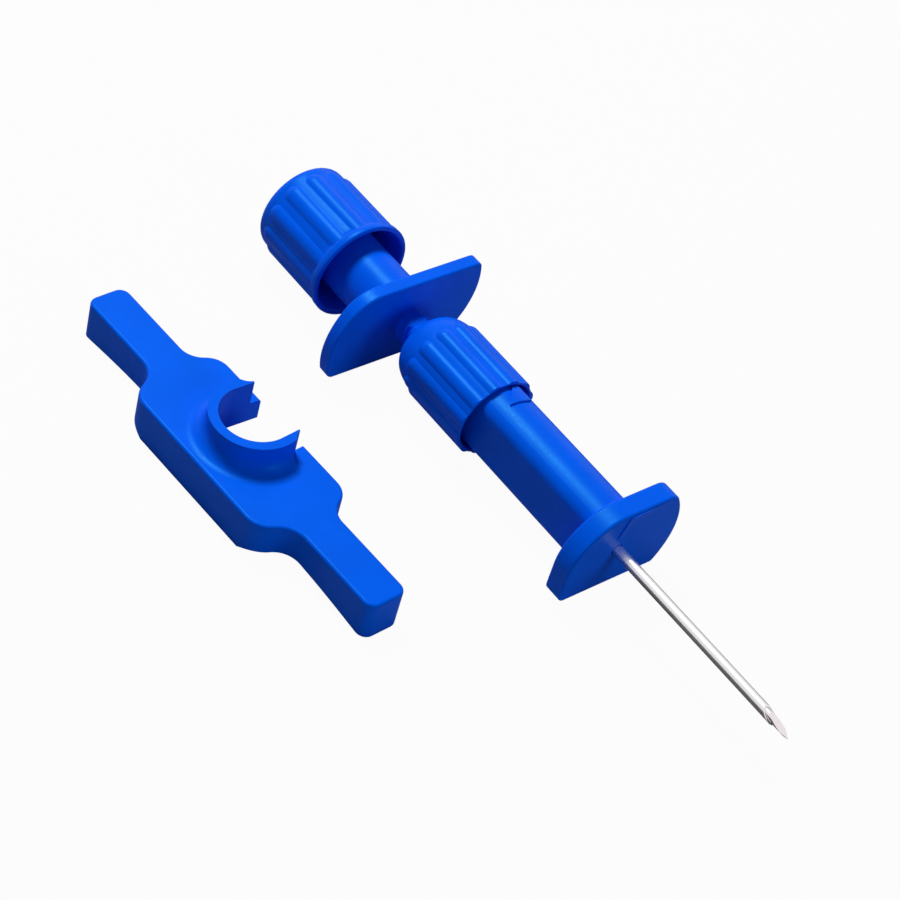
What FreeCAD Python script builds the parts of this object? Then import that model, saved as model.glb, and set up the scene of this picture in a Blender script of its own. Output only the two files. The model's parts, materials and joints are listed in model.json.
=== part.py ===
import FreeCAD
import Part
import math
import os

os.makedirs("parts", exist_ok=True)

V = FreeCAD.Vector
X_AXIS = V(1, 0, 0)
Z_AXIS = V(0, 0, 1)
ORIGIN = V(0, 0, 0)

# Bone marrow aspiration needle with its detached winged handle. Millimetres.
# Lengths along the needle count from the far face of the finger flange. The finished
# pieces are moved so that the origin is the middle of the cap's end face. +X runs
# towards the needle tip and +Z up from the table.

# Clearances
run_gap = 0.05            # rod in cannula
bond_gap = 0.02           # cured adhesive to the walls around it
taper_gap = 0.08          # cap post in the socket
seat_gap = 0.3            # faces that meet when seated
snap_gap = 0.25           # bead in the groove of the guard sleeve
key_gap = 0.25            # guard bore over the shank
hole_gap = 0.135          # guard plate hole over the cannula

# Cannula and stylet rod
cannula_od = 1.83
cannula_id = 1.40
cannula_start = -14.2
bevel_top = 88.1
bevel_bottom = 90.6
tip_x = 93.7
rod_bevel_run = 4.5
rod_start = -27.9

# Hub: stem, finger flange and screw shank
stem_r = 5.45
stem_mouth = -27.9
flange_t = 2.56
flange_half = 7.6
flange_end_r = 13.6
flange_skew_y = 0.8
flange_skew_z = 3.5
flange_tight_r = 1.2
flange_soft_r = 7.0
flange_edge_r = 0.4
stem_root_r = 0.5
socket_mouth_r = 2.15
socket_depth = 11.5
socket_slope = 0.03       # radius lost per millimetre of depth
throat_len = 2.0
shank_end = 44.0
shank_root_r = 2.6
thread_crest_r = 3.1
shank_flat = 2.2
well_r = 1.35
well_depth = 6.0

# Stylet cap
cap_rim_x = -12.7
cap_top_x = -30.3
cap_top_r = 8.42
cap_foot_r = 8.5
cap_top_round = 1.15
cap_rim_r = 9.1
cap_band = 2.1
cap_bore_r = 7.4
cap_ceiling = 2.0
post_len = 9.5
post_bore_r = 1.0
rib_count = 12
rib_half_angle = 10.2     # degrees, where a rib meets the wall
rib_rise = 0.42
cap_rib_start = 1.9       # from the top face
cap_rib_turn = 6.0        # degrees from +Y to the first rib

# Depth nut
nut_start = 4.9
nut_end = 23.95
nut_body_r = 7.05
nut_cavity_r = 6.6
nut_thread_gap = 0.1
nut_wall_end = 6.7        # length of the threaded end
nut_rib_rise = 0.35
nut_rib_start = 4.5       # from the near end of the nut
nut_rib_turn = 15.0       # degrees from +Y to the first rib
bead_len = 1.2

# Depth guard: sleeve and plate
sleeve_start = 12.0
sleeve_r = 6.2
sleeve_flat = 4.3
sleeve_edge_r = 2.4
groove_r = 5.7
groove_start = 14.3
plate_x = 50.75
plate_t = 3.69
plate_top = 7.3
plate_bottom = 7.6
plate_side = 9.1
plate_big_r = 12.3
plate_left_r = 9.5
plate_corner_top = 2.5
plate_corner_low = 0.8
plate_edge_r = 0.45
plate_root_r = 0.6
end_wall = 1.25
lug_x = 24.2
lug_len = 3.3
lug_rise = 0.35

# Winged handle, drawn with the clip axis at its own origin
table_z = -cap_rim_r
handle_x = 9.33
handle_y = -35.66
handle_yaw = 2.94
handle_len = 72.6
handle_t = 6.98
arm_front = -5.65
arm_back = 1.5
block_front = -10.9
block_back = 5.8
block_half = 12.9
swing_run = 8.0
block_half_back = 13.9
swing_run_back = 6.8
arm_corner_r = 1.8
handle_edge_r = 0.5
arm_relief = 1.5
clip_bore_gap = 0.42
clip_wall = 1.6
clip_top = 11.55
clip_mouth = 5.5           # half width at the back face
clip_tip_x = 5.65
clip_tip_y = 3.65
clip_dent_r = 2.7
cove_r = 2.6
pocket_gap = 0.45
pocket_depth = 3.1

# Sizes that follow from the ones above
cannula_r = cannula_od / 2
cannula_bore_r = cannula_id / 2
rod_r = cannula_bore_r - run_gap
guide_r = cannula_r + 0.03
socket_end = stem_mouth + socket_depth
bore_start = cannula_start - 0.2
ceiling_x = cap_top_x + cap_ceiling
clip_bore_r = stem_r + clip_bore_gap
clip_outer_r = clip_bore_r + clip_wall
plate_end = plate_x + plate_t


def cyl(radius, x0, x1):
    return Part.makeCylinder(radius, x1 - x0, V(x0, 0, 0), X_AXIS)


def turned(points):
    """Solid of revolution about the needle axis from (x, r) corners."""
    wire = Part.makePolygon([V(x, 0, r) for x, r in points] + [V(points[0][0], 0, points[0][1])])
    return Part.Face(wire).revolve(ORIGIN, X_AXIS, 360)


def turned_edges(edges):
    return Part.Face(Part.Wire(edges)).revolve(ORIGIN, X_AXIS, 360)


def line(a, b):
    return Part.makeLine(a, b)


def arc(a, m, b):
    return Part.Arc(a, m, b).toShape()


def rounded_upright(solid, spots, tol=0.05):
    """Round the edges parallel to X that pass near given (y, z, radius) spots."""
    for y, z, radius in spots:
        picked = []
        for edge in solid.Edges:
            ends = [v.Point for v in edge.Vertexes]
            if len(ends) != 2 or abs(ends[0].x - ends[1].x) < 0.5:
                continue
            if all(abs(p.y - y) < tol and abs(p.z - z) < tol for p in ends):
                picked.append(edge)
        if picked:
            solid = solid.makeFillet(radius, picked)
    return solid


def edges_in_plane(solid, x, keep=None):
    picked = []
    for edge in solid.Edges:
        box = edge.BoundBox
        if abs(box.XMin - x) < 1e-4 and abs(box.XMax - x) < 1e-4:
            if keep is None or keep(edge):
                picked.append(edge)
    return picked


def ribs(wall_r, rise, x0, x1, first_angle, open_end=False):
    """Ring of broad raised ribs with rounded ends, from x0 to x1 along a wall.

    A rib is a rod whose surface cuts the wall at the rib's half angle and rises above it."""
    half = math.radians(rib_half_angle)
    y = wall_r * math.sin(half)
    z = wall_r * math.cos(half)
    crest = wall_r + rise
    centre_r = (crest ** 2 - wall_r ** 2) / (2 * (crest - z))
    radius = crest - centre_r
    reach = math.sqrt(radius ** 2 - (wall_r - centre_r) ** 2)
    c = math.sqrt(0.5)
    start = x0 + reach
    stop = x1 if open_end else x1 - reach
    low = V(start - radius, 0, centre_r)
    nose_mid = V(start - radius * c, 0, centre_r + radius * c)
    top0 = V(start, 0, crest)
    top1 = V(stop, 0, crest)
    edges = [arc(low, nose_mid, top0), line(top0, top1)]
    if open_end:
        tail = V(stop, 0, centre_r)
        edges.append(line(top1, tail))
    else:
        tail = V(stop + radius, 0, centre_r)
        edges.append(arc(top1, V(stop + radius * c, 0, centre_r + radius * c), tail))
    edges.append(line(tail, low))
    rods = []
    for n in range(rib_count):
        rod = Part.Face(Part.Wire(edges)).revolve(V(0, 0, centre_r), X_AXIS, 360)
        rod.rotate(ORIGIN, X_AXIS, first_angle - 90 + n * 360.0 / rib_count)
        rods.append(rod)
    return rods


def stylet_cap():
    """Fluted cap: domed edge, raised ribs, flared rim band and a tapered post."""
    c = math.sqrt(0.5)
    shoulder = cap_top_x + cap_top_round
    band_x = cap_rim_x - cap_band
    p0 = V(cap_top_x, 0, 0)
    p1 = V(cap_top_x, 0, cap_top_r - cap_top_round)
    p1m = V(shoulder - cap_top_round * c, 0, cap_top_r - cap_top_round * (1 - c))
    p2 = V(shoulder, 0, cap_top_r)
    p3 = V(band_x, 0, cap_foot_r)
    p3m = V(band_x + 0.45, 0, cap_foot_r + 0.12)
    p4 = V(band_x + 0.85, 0, cap_rim_r - 0.1)
    p5 = V(cap_rim_x - 0.3, 0, cap_rim_r)
    p5m = V(cap_rim_x - 0.09, 0, cap_rim_r - 0.09)
    p6 = V(cap_rim_x, 0, cap_rim_r - 0.3)
    p7 = V(cap_rim_x, 0, 0)
    body = turned_edges([line(p0, p1), arc(p1, p1m, p2), line(p2, p3), arc(p3, p3m, p4),
                         line(p4, p5), arc(p5, p5m, p6), line(p6, p7), line(p7, p0)])
    wall_r = (cap_top_r + cap_foot_r) / 2
    body = body.fuse(ribs(wall_r, rib_rise, cap_top_x + cap_rib_start, band_x, cap_rib_turn))
    hollow = turned([(ceiling_x, 0), (ceiling_x, cap_bore_r - 0.25), (cap_rim_x + 1, cap_bore_r),
                     (cap_rim_x + 1, 0)])
    body = body.cut(hollow)
    root_r = socket_mouth_r - taper_gap + socket_slope * seat_gap
    tip_r = root_r - socket_slope * post_len
    post = turned([(ceiling_x - 0.5, 0), (ceiling_x - 0.5, root_r), (ceiling_x, root_r),
                   (ceiling_x + post_len - 0.3, tip_r), (ceiling_x + post_len, tip_r - 0.3),
                   (ceiling_x + post_len, 0)])
    body = body.fuse(post)
    body = body.cut(cyl(post_bore_r, rod_start - 0.1, ceiling_x + post_len + 1))
    return body.removeSplitter()


def stylet_rod():
    """Solid rod ground to a lancet point: one long bevel and two side bevels."""
    rod = cyl(rod_r, rod_start, tip_x)
    slope = math.atan2(2 * rod_r, rod_bevel_run)
    size = 12.0
    half = size / 2
    main = Part.makeBox(size, size, size, V(0, -half, 0))
    main.rotate(ORIGIN, V(0, 1, 0), math.degrees(slope))
    main.translate(V(tip_x - rod_bevel_run, 0, rod_r))
    rod = rod.cut(main)
    for side in (-1, 1):
        grind = Part.makeBox(size, size, size, V(-half, -half, 0))
        grind.rotate(ORIGIN, V(0, 1, 0), 27)
        grind.rotate(ORIGIN, X_AXIS, -side * 68)
        grind.translate(V(tip_x, 0, -rod_r))
        rod = rod.cut(grind)
    return rod


def stylet_bond():
    """Ring of cured adhesive that holds the rod in the cap post."""
    x0 = rod_start + 0.2
    x1 = ceiling_x + post_len - 0.5
    return cyl(post_bore_r - bond_gap, x0, x1).cut(cyl(rod_r + bond_gap, x0 - 1, x1 + 1))


def needle_hub():
    """Stem with a tapered socket, skewed finger flange and keyed screw shank."""
    dz = flange_half - flange_skew_z
    near = flange_skew_y + math.sqrt(flange_end_r ** 2 - dz ** 2)
    dz = flange_half + flange_skew_z
    far = flange_skew_y + math.sqrt(flange_end_r ** 2 - dz ** 2)
    wide = flange_skew_y + flange_end_r
    x = -flange_t
    a = V(x, -far, flange_half)
    b = V(x, near, flange_half)
    c = V(x, far, -flange_half)
    d = V(x, -near, -flange_half)
    wire = Part.Wire([line(a, b), arc(b, V(x, wide, flange_skew_z), c), line(c, d),
                      arc(d, V(x, -wide, -flange_skew_z), a)])
    flange = Part.Face(wire).extrude(V(flange_t, 0, 0))
    flange = rounded_upright(flange, [(near, flange_half, flange_tight_r),
                                      (-near, -flange_half, flange_tight_r),
                                      (far, -flange_half, flange_soft_r),
                                      (-far, flange_half, flange_soft_r)])
    flange = flange.makeFillet(flange_edge_r, edges_in_plane(flange, x) + edges_in_plane(flange, 0))
    stem = turned([(stem_mouth, 0), (stem_mouth, stem_r - 0.4), (stem_mouth + 0.4, stem_r),
                   (-flange_t + 0.5, stem_r), (-flange_t + 0.5, 0)])
    body = flange.fuse(stem)
    root = edges_in_plane(body, x, lambda e: e.BoundBox.YMax < stem_r + 0.01)
    body = body.makeFillet(stem_root_r, root)
    shank = cyl(shank_root_r, -0.5, shank_end)
    shank = shank.common(Part.makeBox(shank_end + 1, 4 * shank_root_r, 2 * shank_flat,
                                      V(-0.5, -2 * shank_root_r, -shank_flat)))
    shank = shank.makeChamfer(0.3, edges_in_plane(shank, shank_end))
    body = body.fuse(shank)
    end_r = socket_mouth_r - socket_slope * socket_depth
    passage = turned([(stem_mouth - 1, 0), (stem_mouth - 1, socket_mouth_r), (stem_mouth, socket_mouth_r),
                      (socket_end, end_r), (socket_end, cannula_bore_r + 0.02),
                      (bore_start, cannula_bore_r + 0.02), (bore_start, guide_r),
                      (shank_end - well_depth, guide_r), (shank_end - well_depth, well_r),
                      (shank_end + 1, well_r), (shank_end + 1, 0)])
    return body.cut(passage).removeSplitter()


def cannula():
    """Steel tube with a bevelled mouth."""
    tube = cyl(cannula_r, cannula_start, bevel_bottom + 1).cut(
        cyl(cannula_bore_r, cannula_start - 1, bevel_bottom + 2))
    slope = math.atan2(2 * cannula_r, bevel_bottom - bevel_top)
    cutter = Part.makeBox(12, 12, 12, V(-6, -6, 0))
    cutter.rotate(ORIGIN, V(0, 1, 0), math.degrees(slope))
    cutter.translate(V(bevel_top, 0, cannula_r))
    return tube.cut(cutter)


def cannula_bond():
    """Ring of cured adhesive in the well at the far end of the shank."""
    x0 = shank_end - well_depth + 0.1
    x1 = shank_end - 0.3
    return cyl(well_r - bond_gap, x0, x1).cut(cyl(cannula_r + bond_gap, x0 - 1, x1 + 1))


def depth_nut():
    """Domed fluted nut: threaded end, open skirt and a bead that snaps over the sleeve."""
    shape = [(0.0, 3.75), (0.3, 4.6), (1.6, 6.0), (3.2, 6.65), (5.1, 6.97), (7.1, 7.05)]
    dome = Part.BSplineCurve()
    dome.interpolate([V(nut_start + dx, 0, r - 7.05 + nut_body_r) for dx, r in shape])
    first = V(nut_start, 0, shape[0][1] - 7.05 + nut_body_r)
    last = V(nut_start + shape[-1][0], 0, nut_body_r)
    rim = V(nut_end, 0, nut_body_r)
    body = turned_edges([line(V(nut_start, 0, 0), first), dome.toShape(), line(last, rim),
                         line(rim, V(nut_end, 0, 0)), line(V(nut_end, 0, 0), V(nut_start, 0, 0))])
    body = body.fuse(ribs(nut_body_r, nut_rib_rise, nut_start + nut_rib_start, nut_end,
                          nut_rib_turn, open_end=True))
    inner = nut_start + nut_wall_end
    bead_x = groove_start + seat_gap
    bead_r = groove_r + snap_gap
    lead = nut_cavity_r - bead_r
    bore_r = thread_crest_r + nut_thread_gap
    hollow = turned([(nut_start - 1, 0), (nut_start - 1, bore_r + 0.6), (nut_start, bore_r + 0.35),
                     (nut_start + 0.35, bore_r), (inner, bore_r), (inner, nut_cavity_r),
                     (bead_x, nut_cavity_r), (bead_x, bead_r), (bead_x + bead_len, bead_r),
                     (bead_x + bead_len + lead, nut_cavity_r), (nut_end - 0.3, nut_cavity_r),
                     (nut_end, nut_cavity_r + 0.15), (nut_end + 1, nut_cavity_r + 0.15),
                     (nut_end + 1, 0)])
    return body.cut(hollow).removeSplitter()


def depth_guard():
    """Flat-sided sleeve that ends in a wide skin plate, with a marker lug on top."""
    sleeve = cyl(sleeve_r, sleeve_start, plate_x + 0.5)
    sleeve = sleeve.common(Part.makeBox(60, 2 * sleeve_flat, 4 * sleeve_r,
                                        V(sleeve_start, -sleeve_flat, -2 * sleeve_r)))
    high = math.sqrt(sleeve_r ** 2 - sleeve_flat ** 2)
    sleeve = rounded_upright(sleeve, [(sleeve_flat, high, sleeve_edge_r), (sleeve_flat, -high, sleeve_edge_r),
                                      (-sleeve_flat, high, sleeve_edge_r), (-sleeve_flat, -high, sleeve_edge_r)])
    groove_len = bead_len + 2 * seat_gap
    ring = cyl(sleeve_r + 1, groove_start, groove_start + groove_len).cut(
        cyl(groove_r, groove_start - 1, groove_start + groove_len + 1))
    sleeve = sleeve.cut(ring)
    sleeve = sleeve.makeChamfer(0.25, edges_in_plane(sleeve, sleeve_start))
    tangent_y = plate_left_r - plate_side
    arc_z = plate_top - plate_left_r
    x = plate_x
    c = math.sqrt(0.5)
    corner = math.sqrt(plate_big_r ** 2 - plate_top ** 2)
    foot = math.sqrt(plate_big_r ** 2 - plate_bottom ** 2)
    p1 = V(x, tangent_y, plate_top)
    p2 = V(x, corner, plate_top)
    p3 = V(x, foot, -plate_bottom)
    p4 = V(x, -plate_side, -plate_bottom)
    p5 = V(x, -plate_side, arc_z)
    pm = V(x, tangent_y - plate_left_r * c, arc_z + plate_left_r * c)
    wire = Part.Wire([line(p1, p2), arc(p2, V(x, plate_big_r, 0), p3), line(p3, p4),
                      line(p4, p5), arc(p5, pm, p1)])
    plate = Part.Face(wire).extrude(V(plate_t, 0, 0))
    plate = rounded_upright(plate, [(corner, plate_top, plate_corner_top),
                                    (foot, -plate_bottom, plate_corner_low),
                                    (-plate_side, -plate_bottom, plate_corner_low)])
    plate = plate.makeFillet(plate_edge_r, edges_in_plane(plate, plate_end) + edges_in_plane(plate, plate_x))
    body = sleeve.fuse(plate)
    root = edges_in_plane(body, plate_x, lambda e: max(abs(e.BoundBox.YMin), abs(e.BoundBox.YMax))
                          < sleeve_flat + 0.01 and abs(e.BoundBox.ZMax) < sleeve_r + 0.01)
    body = body.makeFillet(plate_root_r, root)
    floor_z = sleeve_r - 1.0
    lug_top = sleeve_r + lug_rise
    a = V(lug_x, 1.35, floor_z)
    b = V(lug_x + 0.9 * lug_len, -1.35, floor_z)
    d = V(lug_x + lug_len, 2.75, floor_z)
    e = V(lug_x, 2.75, floor_z)
    lug = Part.Face(Part.makePolygon([a, b, d, e, a])).extrude(V(0, 0, lug_top - floor_z))
    lug = lug.common(cyl(lug_top, lug_x - 1, lug_x + lug_len + 1))
    body = body.fuse(lug)
    key = shank_flat + key_gap
    bore = cyl(thread_crest_r + key_gap + 0.05, sleeve_start - 1, plate_x - end_wall)
    bore = bore.common(Part.makeBox(60, 20, 2 * key, V(sleeve_start - 1, -10, -key)))
    body = body.cut(bore)
    body = body.cut(cyl(cannula_r + hole_gap, plate_x - end_wall - 1, plate_end + 1))
    return body.removeSplitter()


def handle_outline():
    """Plan outline of the handle as a closed wire at its underside."""
    end = handle_len / 2
    top = block_half + swing_run

    def swing(x0, y0, x1, y1):
        """Two tangent arcs from level y0 to level y1."""
        mid = V((x0 + x1) / 2, (y0 + y1) / 2, 0)
        run = abs(x1 - x0)
        rise = abs(y1 - y0)
        radius = (run ** 2 + rise ** 2) / (4 * rise)
        half_angle = math.asin(run / 2 / radius) / 2
        along = radius * math.sin(half_angle)
        off = radius * (1 - math.cos(half_angle))
        sx = 1 if x1 > x0 else -1
        sy = 1 if y1 > y0 else -1
        m0 = V(x0 + sx * along, y0 + sy * off, 0)
        m1 = V(x1 - sx * along, y1 - sy * off, 0)
        return [arc(V(x0, y0, 0), m0, mid), arc(mid, m1, V(x1, y1, 0))]

    edges = []
    edges += [line(V(-end, arm_front, 0), V(-top, arm_front, 0))]
    edges += swing(-top, arm_front, -block_half, block_front)
    edges += [line(V(-block_half, block_front, 0), V(block_half, block_front, 0))]
    edges += swing(block_half, block_front, top, arm_front)
    edges += [line(V(top, arm_front, 0), V(end, arm_front, 0))]
    edges += [line(V(end, arm_front, 0), V(end, arm_back, 0))]
    back = block_half_back + swing_run_back
    edges += [line(V(end, arm_back, 0), V(back, arm_back, 0))]
    edges += swing(back, arm_back, block_half_back, block_back)
    edges += [line(V(block_half_back, block_back, 0), V(-block_half_back, block_back, 0))]
    edges += swing(-block_half_back, block_back, -back, arm_back)
    edges += [line(V(-back, arm_back, 0), V(-end, arm_back, 0))]
    edges += [line(V(-end, arm_back, 0), V(-end, arm_front, 0))]
    return Part.Wire(edges)


def handle():
    """Winged handle: block with a snap clip for the stem and a pocket for the flange."""
    end = handle_len / 2
    outline = handle_outline()
    body = Part.Face(outline).extrude(V(0, 0, handle_t))
    corners = [edge for edge in body.Edges
               if abs(edge.BoundBox.ZLength - handle_t) < 1e-4
               and abs(abs(edge.BoundBox.XMin) - end) < 1e-4]
    body = body.makeFillet(arm_corner_r, corners)
    rims = [edge for edge in body.Edges if abs(edge.BoundBox.ZMin - handle_t) < 1e-4]
    body = body.makeFillet(handle_edge_r, rims)
    for side in (-1, 1):
        arch = [(end, 0.0), (end - 6, 0.47), (end - 12, 0.83), (end - 17, 1.0), (block_half + 3, 0.95),
                (block_half + 1.2, 0.6), (block_half - 0.4, 0.0)]
        curve = Part.BSplineCurve()
        curve.interpolate([V(side * x, -30, h * arm_relief) for x, h in arch])
        first = V(side * arch[0][0], -30, 0)
        last = V(side * arch[-1][0], -30, 0)
        out = V(side * (end + 1), -30, 0)
        drop = V(0, 0, -1)
        under = Part.Face(Part.Wire([curve.toShape(), line(last, last + drop), line(last + drop, out + drop),
                                     line(out + drop, out), line(out, first)]))
        body = body.cut(under.extrude(V(0, 60, 0)))
    column = Part.makeCylinder(clip_outer_r, clip_top - 1, V(0, 0, 1), Z_AXIS)
    c = math.sqrt(0.5)
    a = V(clip_outer_r - 0.5, 0, handle_t - 0.5)
    b = V(clip_outer_r + cove_r, 0, handle_t - 0.5)
    d = V(clip_outer_r + cove_r, 0, handle_t)
    m = V(clip_outer_r + cove_r * (1 - c), 0, handle_t + cove_r * (1 - c))
    e = V(clip_outer_r, 0, handle_t + cove_r)
    g = V(clip_outer_r - 0.5, 0, handle_t + cove_r)
    cove = Part.Face(Part.Wire([line(a, b), line(b, d), arc(d, m, e), line(e, g), line(g, a)]))
    cove = cove.revolve(ORIGIN, Z_AXIS, 360)
    inside = Part.Face(outline).extrude(V(0, 0, clip_top + 5))
    inside = inside.cut(Part.makeBox(60, 20, 40, V(-30, block_back - handle_edge_r - 0.1, -5)))
    cove = cove.common(inside)
    body = body.fuse([column, cove])
    far = block_back + 8
    left = V(-clip_bore_r, 0, 0)
    right = V(clip_bore_r, 0, 0)
    left_lip = V(-clip_mouth, block_back, 0)
    right_lip = V(clip_mouth, block_back, 0)
    mouth = Part.Face(Part.Wire([
        arc(right, V(0, -clip_bore_r, 0), left), line(left, left_lip),
        line(left_lip, V(-clip_mouth, far, 0)), line(V(-clip_mouth, far, 0), V(clip_mouth, far, 0)),
        line(V(clip_mouth, far, 0), right_lip), line(right_lip, right)]))
    body = body.cut(mouth.extrude(V(0, 0, clip_top + 1)))
    trim_z = handle_t + 0.001
    crown = Part.makeBox(40, 20, 20, V(-20, clip_tip_y + 0.1, trim_z))
    body = body.cut(crown)
    for side in (-1, 1):
        dent_x = clip_tip_x + 0.1 + clip_dent_r
        dent = Part.makeCylinder(clip_dent_r, 20, V(side * dent_x, clip_tip_y + 0.95, trim_z), Z_AXIS)
        body = body.cut(dent)
    pocket_half = flange_skew_y + flange_end_r + pocket_gap
    pocket_front = -flange_half - pocket_gap
    pocket = Part.makeBox(2 * pocket_half, 40, pocket_depth + 1, V(-pocket_half, pocket_front, -1))
    upright = [edge for edge in pocket.Edges
               if edge.BoundBox.ZLength > 1 and abs(edge.BoundBox.YMin - pocket_front) < 1e-4]
    pocket = pocket.makeFillet(1.2, upright)
    body = body.cut(pocket)
    body = body.removeSplitter()
    body.rotate(ORIGIN, Z_AXIS, handle_yaw)
    body.translate(V(handle_x, handle_y, table_z))
    return body


def write(name, shape):
    if shape.ShapeType == "Compound" and len(shape.Solids) == 1:
        shape = shape.Solids[0]
    shape.translate(V(-cap_top_x, 0, 0))
    shape.exportStep("parts/" + name + ".step")
    print(name, shape.ShapeType, len(shape.Solids), round(shape.Volume, 2), shape.isValid())


write("handle", handle())
write("stylet_cap", stylet_cap())
write("stylet_rod", stylet_rod())
write("stylet_bond", stylet_bond())
write("needle_hub", needle_hub())
write("cannula", cannula())
write("cannula_bond", cannula_bond())
write("depth_nut", depth_nut())
write("depth_guard", depth_guard())
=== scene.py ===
"""Looks for the bone marrow aspiration needle and its winged handle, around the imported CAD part."""

import json

import bpy
import numpy as np
from bpy.props import FloatProperty, FloatVectorProperty, IntProperty, PointerProperty
from bpy.types import Operator, Panel, PropertyGroup
from mathutils import Matrix, Vector

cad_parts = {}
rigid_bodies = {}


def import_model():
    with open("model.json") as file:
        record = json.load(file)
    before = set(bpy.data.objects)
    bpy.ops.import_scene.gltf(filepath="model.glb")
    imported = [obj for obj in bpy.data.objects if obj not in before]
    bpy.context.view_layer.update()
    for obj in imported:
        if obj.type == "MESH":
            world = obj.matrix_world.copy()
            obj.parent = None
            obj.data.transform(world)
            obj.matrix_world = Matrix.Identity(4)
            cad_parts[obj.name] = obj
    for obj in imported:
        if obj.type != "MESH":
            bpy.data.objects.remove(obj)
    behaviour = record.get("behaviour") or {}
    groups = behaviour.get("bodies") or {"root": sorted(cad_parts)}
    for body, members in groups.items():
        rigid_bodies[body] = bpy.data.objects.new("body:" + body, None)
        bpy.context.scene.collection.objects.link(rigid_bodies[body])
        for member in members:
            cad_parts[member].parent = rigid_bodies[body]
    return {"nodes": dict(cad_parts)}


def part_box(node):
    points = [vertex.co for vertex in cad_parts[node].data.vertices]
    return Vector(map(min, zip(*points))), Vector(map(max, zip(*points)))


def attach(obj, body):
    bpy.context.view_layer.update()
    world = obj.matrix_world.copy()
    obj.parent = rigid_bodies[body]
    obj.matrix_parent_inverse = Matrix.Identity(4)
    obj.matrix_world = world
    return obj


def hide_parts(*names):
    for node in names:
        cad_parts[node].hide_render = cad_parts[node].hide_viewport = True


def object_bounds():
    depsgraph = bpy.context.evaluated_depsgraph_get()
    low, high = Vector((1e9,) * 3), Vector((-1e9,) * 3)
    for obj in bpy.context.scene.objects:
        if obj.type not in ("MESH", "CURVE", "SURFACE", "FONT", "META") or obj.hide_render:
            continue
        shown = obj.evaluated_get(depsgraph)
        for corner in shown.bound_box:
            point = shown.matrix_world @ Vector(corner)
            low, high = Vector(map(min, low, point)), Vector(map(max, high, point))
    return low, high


bl_info = {
    "name": "Bone marrow needle looks",
    "version": (1, 0, 0),
    "blender": (4, 5, 0),
    "location": "3D View > Sidebar > Needle",
    "description": "Threads, finishes, lights and camera for a bone marrow aspiration needle",
    "category": "Object",
}

MM = 0.001
BLUE_ABS = "Moulded ABS, blue"
# A noise texture's values lie mostly between these two.
NOISE_SPAN = {"From Min": 0.3, "From Max": 0.7}

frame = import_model()
LOW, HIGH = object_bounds()
CAP_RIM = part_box("stylet_cap")[1].x
PLATE_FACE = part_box("depth_guard")[1].x


def linear(hex_colour):
    """Turns an sRGB hex colour into linear red, green and blue."""
    part = np.array([int(hex_colour[i:i + 2], 16) for i in (1, 3, 5)]) / 255
    value = np.where(part <= 0.04045, part / 12.92, ((part + 0.055) / 1.055) ** 2.4)
    return tuple(float(v) for v in value)


class ScrewSizes(PropertyGroup):
    """Sizes of the thread on the hub's shank."""

    pitch: FloatProperty(name="Pitch", description="Advance of the thread in one turn",
                         default=1.75 * MM, unit="LENGTH")
    crest: FloatProperty(name="Crest radius", description="Radius over the thread",
                         default=3.15 * MM, unit="LENGTH")
    root: FloatProperty(name="Root radius", description="Radius of the bare shank",
                        default=2.6 * MM, unit="LENGTH")
    flat: FloatProperty(name="Flat height",
                        description="Half height between the flats that key the guard",
                        default=2.2 * MM, unit="LENGTH")
    start: FloatProperty(name="Start", description="Where the thread leaves the flange",
                         default=30.85 * MM, unit="LENGTH")
    end: FloatProperty(name="End", description="Where the thread runs out",
                       default=73.5 * MM, unit="LENGTH")


class CapSizes(PropertyGroup):
    """Sizes of the stylet's cap, from its end face at the origin."""

    length: FloatProperty(name="Length", description="From the end face to the rim",
                          default=CAP_RIM, unit="LENGTH")
    wall: FloatProperty(name="Wall radius", description="Radius of the wall between the ribs",
                        default=8.46 * MM, unit="LENGTH")
    rim: FloatProperty(name="Rim radius", description="Radius over the flared rim band",
                       default=9.1 * MM, unit="LENGTH")
    band: FloatProperty(name="Band", description="Length of the rim band",
                        default=2.1 * MM, unit="LENGTH")
    mouth: FloatProperty(name="Mouth", description="Depth over which the mouth narrows to the bore",
                         default=3.2 * MM, unit="LENGTH")
    ribs: IntProperty(name="Ribs", description="Number of raised ribs", default=12, min=3, max=30)
    rise: FloatProperty(name="Rib rise", description="Height of a rib over the wall",
                        default=0.42 * MM, unit="LENGTH")


class PlateSizes(PropertyGroup):
    """Sizes of the low step moulded into the skin plate's far face."""

    face: FloatProperty(name="Face", description="Where the plate's far face lies along the needle",
                        default=PLATE_FACE, unit="LENGTH")
    rise: FloatProperty(name="Rise", description="Height of the step over the face",
                        default=0.2 * MM, unit="LENGTH")
    width: FloatProperty(name="Width",
                         description="Distance over which the step sinks back into the face",
                         default=1.8 * MM, unit="LENGTH")


class Finishes(PropertyGroup):
    """Colours of the materials."""

    plastic: FloatVectorProperty(name="Moulded plastic", description="Pigment of the mouldings",
                                 subtype="COLOR", size=3, default=linear("#005BEE"))
    tube: FloatVectorProperty(name="Cannula steel", description="Ground stainless tube",
                              subtype="COLOR", size=3, default=linear("#EBE9EA"))
    rod: FloatVectorProperty(name="Stylet steel", description="Polished stainless rod",
                             subtype="COLOR", size=3, default=linear("#F4EBEF"))
    resin: FloatVectorProperty(name="Cured adhesive", description="Clear amber bonding resin",
                               subtype="COLOR", size=3, default=linear("#D9C98F"))
    paper: FloatVectorProperty(name="Backdrop", description="White paper sweep under the part",
                               subtype="COLOR", size=3, default=linear("#FFFFFF"))


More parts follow.
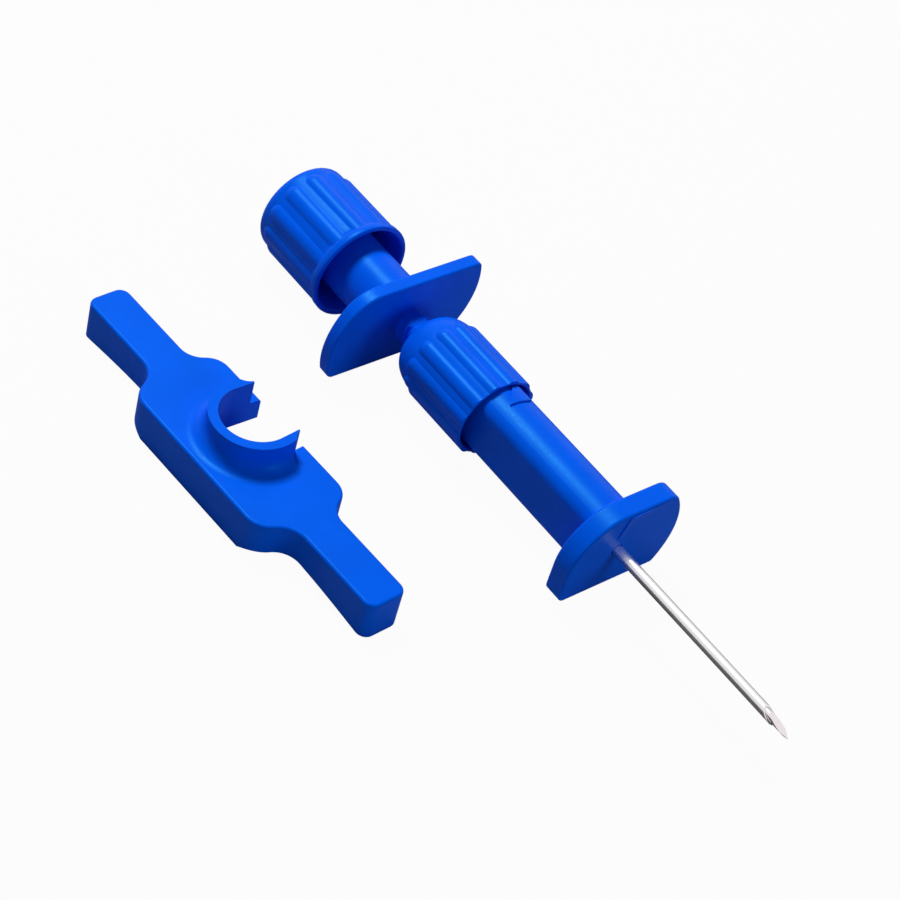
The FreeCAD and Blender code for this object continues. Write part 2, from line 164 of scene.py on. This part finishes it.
class ViewSizes(PropertyGroup):
    """Place of the camera over the part."""

    azimuth: FloatProperty(name="Azimuth", description="Turn of the view from straight along +Y",
                           default=np.radians(40.881), subtype="ANGLE")
    elevation: FloatProperty(name="Elevation", description="Height of the view over the table",
                             default=np.radians(43.646), subtype="ANGLE")
    roll: FloatProperty(name="Roll", description="Turn of the picture about the line of sight",
                        default=np.radians(17.163), subtype="ANGLE")
    distance: FloatProperty(name="Distance", description="From the target to the camera",
                            default=375.09 * MM, unit="LENGTH")
    lens: FloatProperty(name="Lens", description="Focal length on a sensor 36 mm wide",
                        default=95.49, unit="CAMERA")
    target: FloatVectorProperty(name="Target", description="Point at the middle of the picture",
                                subtype="TRANSLATION", size=3,
                                default=(51.617 * MM, -4.941 * MM, -7.613 * MM))


def add(tree, kind, values=None, links=None, **settings):
    """Adds a shader node: settings are its attributes, values its sockets, links their sources."""
    node = tree.nodes.new(kind)
    for name, value in settings.items():
        setattr(node, name, value)
    for name, value in (values or {}).items():
        node.inputs[name].default_value = value
    for name, source in (links or {}).items():
        tree.links.new(source, node.inputs[name])
    return node


def blank(name):
    """A new material with only its output node."""
    material = bpy.data.materials.new(name)
    material.use_nodes = True
    tree = material.node_tree
    tree.nodes.clear()
    return material, tree, add(tree, "ShaderNodeOutputMaterial")


def opaque(colour):
    """A colour with the full alpha that a shader's socket asks for."""
    return (*colour, 1.0)


def moulded_abs(name, colour):
    """Injection moulded ABS, pigmented blue: a soft skin gloss with a faint pull of flow and a
    fine grain. Its reflection is weak and bluish, so that lit curves keep the pigment's colour."""
    material, tree, output = blank(name)
    place = add(tree, "ShaderNodeTexCoord")
    # Flow marks from the mould run over some 6 mm and shift the pigment slightly.
    flow = add(tree, "ShaderNodeTexNoise",
               {"Scale": 1 / (6 * MM), "Detail": 2.0, "Roughness": 0.5},
               {"Vector": place.outputs["Object"]})
    shade = add(tree, "ShaderNodeMapRange", {**NOISE_SPAN, "To Min": 0.955, "To Max": 1.045},
                {"Value": flow.outputs["Fac"]})
    tint = add(tree, "ShaderNodeHueSaturation", {"Color": opaque(colour)},
               {"Value": shade.outputs["Result"]})
    # Spark eroded grain of the mould, 0.3 mm across, drawn that coarse so that it shows.
    grain = add(tree, "ShaderNodeTexNoise",
                {"Scale": 1 / (0.3 * MM), "Detail": 2.0, "Roughness": 0.6},
                {"Vector": place.outputs["Object"]})
    gloss = add(tree, "ShaderNodeMapRange", {**NOISE_SPAN, "To Min": 0.30, "To Max": 0.40},
                {"Value": grain.outputs["Fac"]})
    bump = add(tree, "ShaderNodeBump", {"Strength": 0.12, "Distance": 0.012 * MM},
               {"Height": grain.outputs["Fac"]})
    skin = add(tree, "ShaderNodeBsdfPrincipled",
               {"IOR": 1.5, "Specular IOR Level": 0.13,
                "Specular Tint": opaque(linear("#00F1F9"))},
               {"Base Color": tint.outputs["Color"], "Roughness": gloss.outputs["Result"],
                "Normal": bump.outputs["Normal"]})
    tree.links.new(skin.outputs["BSDF"], output.inputs["Surface"])
    return material


def ground_steel(name, colour, rough, line):
    """Stainless steel ground along its length: bright, with fine drawn lines that spread the glare.
    The roughness swings about rough, and line is the width of one grinding line."""
    material, tree, output = blank(name)
    swing = 0.01
    # The lines run along X, drawn out to 20 times their width.
    drawn = (0.05, 1.0, 1.0)
    place = add(tree, "ShaderNodeTexCoord")
    stretch = add(tree, "ShaderNodeMapping", {"Scale": drawn}, {"Vector": place.outputs["Object"]})
    lines = add(tree, "ShaderNodeTexNoise", {"Scale": 1 / line, "Detail": 3.0, "Roughness": 0.6},
                {"Vector": stretch.outputs["Vector"]})
    spread = add(tree, "ShaderNodeMapRange",
                 {**NOISE_SPAN, "To Min": rough - swing, "To Max": rough + swing},
                 {"Value": lines.outputs["Fac"]})
    metal = add(tree, "ShaderNodeBsdfPrincipled", {"Base Color": opaque(colour), "Metallic": 1.0},
                {"Roughness": spread.outputs["Result"]})
    tree.links.new(metal.outputs["BSDF"], output.inputs["Surface"])
    return material


def cured_resin(name, colour):
    """Cured medical adhesive: hard, glossy and cloudy amber, with small swirls from dosing."""
    material, tree, output = blank(name)
    place = add(tree, "ShaderNodeTexCoord")
    # The swirls are 0.8 mm across and shift the amber by up to a tenth.
    swirl = add(tree, "ShaderNodeTexNoise",
                {"Scale": 1 / (0.8 * MM), "Detail": 3.0, "Distortion": 0.6},
                {"Vector": place.outputs["Object"]})
    shade = add(tree, "ShaderNodeMapRange", {**NOISE_SPAN, "To Min": 0.9, "To Max": 1.08},
                {"Value": swirl.outputs["Fac"]})
    tint = add(tree, "ShaderNodeHueSaturation", {"Color": opaque(colour)},
               {"Value": shade.outputs["Result"]})
    resin = add(tree, "ShaderNodeBsdfPrincipled", {"IOR": 1.52, "Roughness": 0.15},
                {"Base Color": tint.outputs["Color"]})
    tree.links.new(resin.outputs["BSDF"], output.inputs["Surface"])
    return material


def paper_sweep(name, colour):
    """Matt white paper: white to the camera, dim in reflections, still taking a soft shadow."""
    material, tree, output = blank(name)
    # Share of the even white that a ray meets. The rest is matt grey paper, which takes shadow.
    camera_share, mirror_share = 0.96, 0.8
    path = add(tree, "ShaderNodeLightPath")
    seen = add(tree, "ShaderNodeMath", {},
               {0: path.outputs["Is Camera Ray"], 1: path.outputs["Is Transmission Ray"]},
               operation="MAXIMUM")
    part = add(tree, "ShaderNodeMath", {1: camera_share}, {0: seen.outputs[0]},
               operation="MULTIPLY")
    glare = add(tree, "ShaderNodeMath", {1: mirror_share}, {0: path.outputs["Is Glossy Ray"]},
                operation="MULTIPLY")
    part = add(tree, "ShaderNodeMath", {}, {0: part.outputs[0], 1: glare.outputs[0]},
               operation="MAXIMUM")
    matt = add(tree, "ShaderNodeBsdfDiffuse", {"Color": opaque(linear("#AEAEAE"))})
    # To a reflection the sheet is dim, as past its lit area. This is a painted dark reflection that
    # draws the steel's dark edge: the sheet's glow drops to a twentieth for reflected rays only.
    dim = add(tree, "ShaderNodeMapRange", {"To Min": 1.0, "To Max": 0.05},
              {"Value": path.outputs["Is Glossy Ray"]})
    white = add(tree, "ShaderNodeEmission", {"Color": opaque(colour)},
                {"Strength": dim.outputs["Result"]})
    mix = add(tree, "ShaderNodeMixShader", {},
              {"Fac": part.outputs[0], 1: matt.outputs[0], 2: white.outputs[0]})
    tree.links.new(mix.outputs[0], output.inputs["Surface"])
    return material


def surface(name, points, closed=False):
    """Mesh object from a grid of points (rows, columns, xyz) with a quad in each cell. A closed one
    joins its last column to its first, and one face shuts each of its end rows."""
    rows, cols = points.shape[:2]
    row, col = np.meshgrid(np.arange(rows - 1), np.arange(cols if closed else cols - 1),
                           indexing="ij")
    near, far = row * cols, (row + 1) * cols
    after = (col + 1) % cols
    quads = np.stack([near + col, near + after, far + after, far + col], -1)
    faces = quads.reshape(-1, 4).tolist()
    if closed:
        faces.append(list(range(cols))[::-1])
        faces.append(list(range((rows - 1) * cols, rows * cols)))
    mesh = bpy.data.meshes.new(name)
    mesh.from_pydata(points.reshape(-1, 3).tolist(), [], faces)
    mesh.update()
    piece = bpy.data.objects.new(name, mesh)
    bpy.context.scene.collection.objects.link(piece)
    return piece


def shank_thread_points(sizes):
    """The thread is a profile carried along a helix: x = start + pitch * turns, and the angle is
    2 pi * turns. Its radius runs from below the root to the crest and is held under
    flat / |sin(angle)|, which is the shank's flat, so that the ridge fades out over the two flats.
    The crest grows over the first and last half turn."""
    steps_per_turn = 40
    sunk, clear = 0.15 * MM, 0.02 * MM    # foot under the shank's skin, crest under its flats
    foot, crest_half = 0.25, 0.03         # half widths of the ridge, as shares of the pitch
    turns = (sizes.end - sizes.start) / sizes.pitch
    t = np.linspace(0, turns, int(turns * steps_per_turn) + 1)
    angle = 2 * np.pi * t
    x = sizes.start + sizes.pitch * t
    limit = sizes.flat / np.maximum(np.abs(np.sin(angle)), 1e-6)
    fade = np.clip(np.minimum(t, turns - t) / 0.5, 0, 1)
    under = np.minimum(sizes.root, limit) - sunk
    crest = np.minimum(sizes.root + (sizes.crest - sizes.root) * fade, limit - clear)
    side = np.array([foot, crest_half, -crest_half, -foot]) * sizes.pitch
    low = np.array([1, 0, 0, 1.0])
    r = under[:, None] * low + crest[:, None] * (1 - low)
    xx = x[:, None] + side
    return np.stack([xx, r * np.cos(angle)[:, None], r * np.sin(angle)[:, None]], -1)


def cap_points(sizes):
    """A profile of (x, radius) turned about the needle's axis: end face, rounded edge, wall, flared
    band, thin lip, mouth that narrows to the bore, ceiling, tapered post and the hole for the rod.
    On the wall, the radius is the larger of the wall's and of a rod's that lies under each rib.
    With the rod's centre at c and its radius q, a point at the angle p from the rib has
    c cos(p) + sqrt(q^2 - c^2 sin(p)^2), and q shrinks as a ball's does towards the rib's round
    start. The ribs run on under the band. Lengths are in millimetres up to the last line."""
    end, wall, rim, band = (v / MM for v in (sizes.length, sizes.wall, sizes.rim, sizes.band))
    foot, deep = end - band, end - sizes.mouth / MM
    edge_round, draft = 1.15, 0.08          # radius of the end's edge, the wall's growth to the rim
    rib_start, rib_turn, rib_half = 1.9, np.radians(6), np.radians(10.2)
    bore, ceiling = 7.4, 2.0                # radius behind the mouth, inner face of the end wall
    post_end, post_tip, post_root = 11.5, 1.8, 2.1
    hole, hole_end = 1.0, 2.3               # radius of the rod's hole, and where it stops

    face = [(0, 0.02), (0, 4.0), (0, wall - 1.3)]
    edge = [(edge_round * (1 - np.cos(a)), wall - draft / 2 - edge_round * (1 - np.sin(a)))
            for a in np.linspace(0, np.pi / 2, 8)[1:]]
    # The rows stand closer together where the ribs' round starts rise.
    starts = np.concatenate([[1.5, 1.7, 1.82], rib_start + 1.45 * np.linspace(0, 1, 19) ** 1.5])
    straight = [(x, wall + draft * (x / end - 0.5))
                for x in [*starts, 4.5, 8.0, 12.0, foot - 0.4, foot]]
    flare = [(foot + 0.25, wall + 0.09), (foot + 0.45, wall + 0.17), (foot + 0.65, wall + 0.33),
             (foot + 0.8, rim - 0.14), (foot + 0.95, rim - 0.04)]
    lip = [(end - 0.3, rim), (end - 0.15, rim - 0.04), (end - 0.04, rim - 0.15), (end, rim - 0.3),
           (end - 0.02, rim - 0.68), (end - 0.12, rim - 0.84), (end - 0.4, rim - 0.98)]
    inside = [(deep + 0.8, bore + 0.15), (deep, bore), (8.0, bore - 0.12),
              (ceiling + 0.4, bore - 0.24), (ceiling + 0.1, bore - 0.35), (ceiling, bore - 0.6)]
    post = [(ceiling, post_root + 0.2), (ceiling + 0.1, post_root), (post_end - 0.3, post_tip),
            (post_end, post_tip - 0.3), (post_end, hole), (hole_end, hole)]
    rows = np.array([*face, *edge, *straight, *flare, *lip, *inside, *post])

    steps = 360
    angle = np.arange(steps) * 2 * np.pi / steps
    pitch = 2 * np.pi / sizes.ribs
    off = (angle - rib_turn + pitch / 2) % pitch - pitch / 2
    crest = wall + sizes.rise / MM
    centre = (crest ** 2 - wall ** 2) / (2 * (crest - wall * np.cos(rib_half)))
    ball = crest - centre
    reach = np.sqrt(ball ** 2 - (wall - centre) ** 2)
    x, r = rows[:, :1], rows[:, 1:]
    inner = (ball ** 2 - np.maximum(rib_start + reach - x, 0) ** 2
             - (centre * np.sin(off)) ** 2)
    rod = centre * np.cos(off) + np.sqrt(np.maximum(inner, 0))
    order = np.arange(len(rows))[:, None]
    on_wall = (order >= len(face)) & (order < len(rows) - len(lip + inside + post))
    radius = np.where(on_wall & (inner > 0) & (rod > r), rod, r * np.ones_like(angle))
    return np.stack([x * np.ones_like(angle), radius * np.cos(angle), radius * np.sin(angle)],
                    -1) * MM


def plate_step_points(sizes):
    """The step follows a line of (y, z) points up the plate and along its top edge. Across it, a
    low wall stands up from the line to the rise, and the top slopes back into the face over the
    width. The rise grows over the first tenth of the line and dies away over its last third."""
    line = np.array([(-1.05, 2.2), (-0.9, 2.95), (-0.55, 4.2), (-0.1, 5.5), (0.4, 6.55),
                     (0.85, 6.82), (2.5, 6.85), (5.2, 6.85), (7.6, 6.8)]) * MM
    grows, dies, least = 0.1, 0.33, 0.02    # shares of the line, and of the rise at its ends
    sunk = 0.05 * MM                        # how far the underside lies inside the plate
    run = np.concatenate([[0], np.cumsum(np.linalg.norm(np.diff(line, axis=0), axis=1))])
    t = np.linspace(0, 1, 61)
    at = np.stack([np.interp(t * run[-1], run, line[:, k]) for k in (0, 1)], -1)
    ahead = np.gradient(at, axis=0)
    ahead /= np.linalg.norm(ahead, axis=1)[:, None]
    inward = np.stack([ahead[:, 1], -ahead[:, 0]], -1)
    rise = sizes.rise * np.clip(np.minimum(t / grows, (1 - t) / dies), least, 1)
    back = at + inward * sizes.width
    under = np.full(len(t), sizes.face - sunk)
    top = sizes.face + rise
    corners = [(under, at), (top, at), (under, back)]
    return np.stack([np.column_stack([x, flat]) for x, flat in corners], 1)


class OBJECT_OT_needle_finishes(Operator):
    """Give every CAD node its real material"""

    bl_idname = "object.needle_finishes"
    bl_label = "Finishes"

    def execute(self, context):
        look = context.scene.needle_finishes
        plastic = moulded_abs(BLUE_ABS, tuple(look.plastic))
        made = {
            "cannula": ground_steel("Stainless tube, ground", tuple(look.tube),
                                    rough=0.27, line=0.12 * MM),
            "stylet_rod": ground_steel("Stainless rod, polished", tuple(look.rod),
                                       rough=0.2, line=0.2 * MM),
            "stylet_bond": cured_resin("Adhesive, cured", tuple(look.resin)),
        }
        made["cannula_bond"] = made["stylet_bond"]
        for name, node in frame["nodes"].items():
            for thing in [node, *node.children_recursive]:
                if thing.type == "MESH":
                    thing.data.materials.clear()
                    thing.data.materials.append(made.get(name, plastic))
        return {"FINISHED"}


class OBJECT_OT_needle_thread(Operator):
    """Cut the helical thread on the hub's shank"""

    bl_idname = "object.needle_thread"
    bl_label = "Shank thread"

    def execute(self, context):
        piece = surface("shank_thread", shank_thread_points(context.scene.needle_screw),
                        closed=True)
        piece.data.materials.append(bpy.data.materials[BLUE_ABS])
        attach(piece, "needle")
        return {"FINISHED"}


class OBJECT_OT_needle_cap(Operator):
    """Turn the fluted cap with its thin flared mouth"""

    bl_idname = "object.needle_cap"
    bl_label = "Fluted cap"

    def execute(self, context):
        piece = surface("fluted_cap", cap_points(context.scene.needle_cap), closed=True)
        crisp = np.radians(40)
        piece.data.shade_smooth()
        piece.data.set_sharp_from_angle(angle=crisp)
        piece.data.materials.append(bpy.data.materials[BLUE_ABS])
        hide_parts("stylet_cap")
        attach(piece, "stylet")
        return {"FINISHED"}


class OBJECT_OT_needle_plate_step(Operator):
    """Raise the low step on the skin plate's far face"""

    bl_idname = "object.needle_plate_step"
    bl_label = "Plate step"

    def execute(self, context):
        piece = surface("plate_step", plate_step_points(context.scene.needle_plate),
                        closed=True)
        piece.data.materials.append(bpy.data.materials[BLUE_ABS])
        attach(piece, "guard")
        return {"FINISHED"}


class OBJECT_OT_needle_stage(Operator):
    """Lay the white floor, set the soft lights and place the camera"""

    bl_idname = "object.needle_stage"
    bl_label = "Stage"

    def execute(self, context):
        scene = context.scene
        view = scene.needle_view
        half, gap = 3.0, 0.02 * MM    # half the sheet's side, and its distance under the part
        corner = np.array([[[-half, -half], [half, -half]], [[-half, half], [half, half]]])
        flat = np.dstack([corner, np.full((2, 2), LOW.z - gap)])
        floor = surface("floor", flat)
        floor.data.materials.append(paper_sweep("Paper, white", tuple(scene.needle_finishes.paper)))

        # The room is white to the camera and nearly so in reflections, and lights the part faintly.
        mirror_share, room_light = 0.88, 0.13
        world = bpy.data.worlds.new("Soft studio")
        scene.world = world
        world.use_nodes = True
        tree = world.node_tree
        tree.nodes.clear()
        path = add(tree, "ShaderNodeLightPath")
        glare = add(tree, "ShaderNodeMath", {1: mirror_share}, {0: path.outputs["Is Glossy Ray"]},
                    operation="MULTIPLY")
        seen = add(tree, "ShaderNodeMath", {},
                   {0: path.outputs["Is Camera Ray"], 1: glare.outputs[0]}, operation="MAXIMUM")
        plain = add(tree, "ShaderNodeBackground",
                    {"Color": opaque(linear("#F6F9FF")), "Strength": room_light})
        white = add(tree, "ShaderNodeBackground",
                    {"Color": opaque(linear("#FFFFFF")), "Strength": 1.0})
        mix = add(tree, "ShaderNodeMixShader", {},
                  {"Fac": seen.outputs[0], 1: plain.outputs[0], 2: white.outputs[0]})
        output = add(tree, "ShaderNodeOutputWorld")
        tree.links.new(mix.outputs[0], output.inputs["Surface"])

        centre = Vector(view.target)
        # name, place from the centre in metres, length along X, width, watts
        lamps = [("key soft box", (-0.32, 0.03, 0.565), 0.16, 0.16, 3.8),
                 ("low soft box", (0.62, 0.10, 0.26), 0.20, 0.20, 0.8)]
        for name, place, length, width, power in lamps:
            lamp = bpy.data.lights.new(name, "AREA")
            lamp.shape = "RECTANGLE"
            lamp.size = length
            lamp.size_y = width
            lamp.energy = power
            holder = bpy.data.objects.new(name, lamp)
            scene.collection.objects.link(holder)
            holder.location = centre + Vector(place)
            # A lamp shines down its own -Z, so +Z points away from the part.
            holder.rotation_euler = Vector(place).to_track_quat("Z", "Y").to_euler()

        # The view looks level along the azimuth, tips down by the elevation and is rolled last.
        az, el, roll = view.azimuth, view.elevation, view.roll
        level = Vector((-np.sin(az), np.cos(az), 0))
        ahead = level * float(np.cos(el)) - Vector((0, 0, float(np.sin(el))))
        right = ahead.cross(Vector((0, 0, 1))).normalized()
        up = right.cross(ahead)
        across = right * float(np.cos(roll)) + up * float(np.sin(roll))
        above = across.cross(ahead)
        lens = bpy.data.cameras.new("camera")
        lens.sensor_width = 36.0
        lens.lens = view.lens
        lens.clip_start = 0.01
        lens.clip_end = 20.0
        camera = bpy.data.objects.new("camera", lens)
        scene.collection.objects.link(camera)
        turn = Matrix((across, above, -ahead)).transposed()
        camera.matrix_world = Matrix.Translation(centre - ahead * view.distance) @ turn.to_4x4()
        scene.camera = camera
        scene.view_settings.view_transform = "Standard"
        return {"FINISHED"}


class VIEW3D_PT_needle(Panel):
    """Pieces, finishes and stage of the needle"""

    bl_label = "Needle"
    bl_space_type = "VIEW_3D"
    bl_region_type = "UI"
    bl_category = "Needle"

    def draw(self, context):
        scene = context.scene
        for step in STEPS:
            self.layout.operator(step.bl_idname)
        for group in (scene.needle_screw, scene.needle_cap, scene.needle_plate,
                      scene.needle_finishes, scene.needle_view):
            box = self.layout.box()
            for name in group.bl_rna.properties.keys():
                if name not in ("rna_type", "name"):
                    box.prop(group, name)


STEPS = (OBJECT_OT_needle_finishes, OBJECT_OT_needle_thread, OBJECT_OT_needle_cap,
         OBJECT_OT_needle_plate_step, OBJECT_OT_needle_stage)
CLASSES = (ScrewSizes, CapSizes, PlateSizes, Finishes, ViewSizes, *STEPS, VIEW3D_PT_needle)


def register():
    for item in CLASSES:
        bpy.utils.register_class(item)
    bpy.types.Scene.needle_screw = PointerProperty(type=ScrewSizes)
    bpy.types.Scene.needle_cap = PointerProperty(type=CapSizes)
    bpy.types.Scene.needle_plate = PointerProperty(type=PlateSizes)
    bpy.types.Scene.needle_finishes = PointerProperty(type=Finishes)
    bpy.types.Scene.needle_view = PointerProperty(type=ViewSizes)


def unregister():
    del bpy.types.Scene.needle_view
    del bpy.types.Scene.needle_finishes
    del bpy.types.Scene.needle_plate
    del bpy.types.Scene.needle_cap
    del bpy.types.Scene.needle_screw
    for item in reversed(CLASSES):
        bpy.utils.unregister_class(item)


def main():
    register()
    bpy.ops.object.needle_finishes()
    bpy.ops.object.needle_thread()
    bpy.ops.object.needle_cap()
    bpy.ops.object.needle_plate_step()
    bpy.ops.object.needle_stage()


if __name__ == "__main__":
    main()
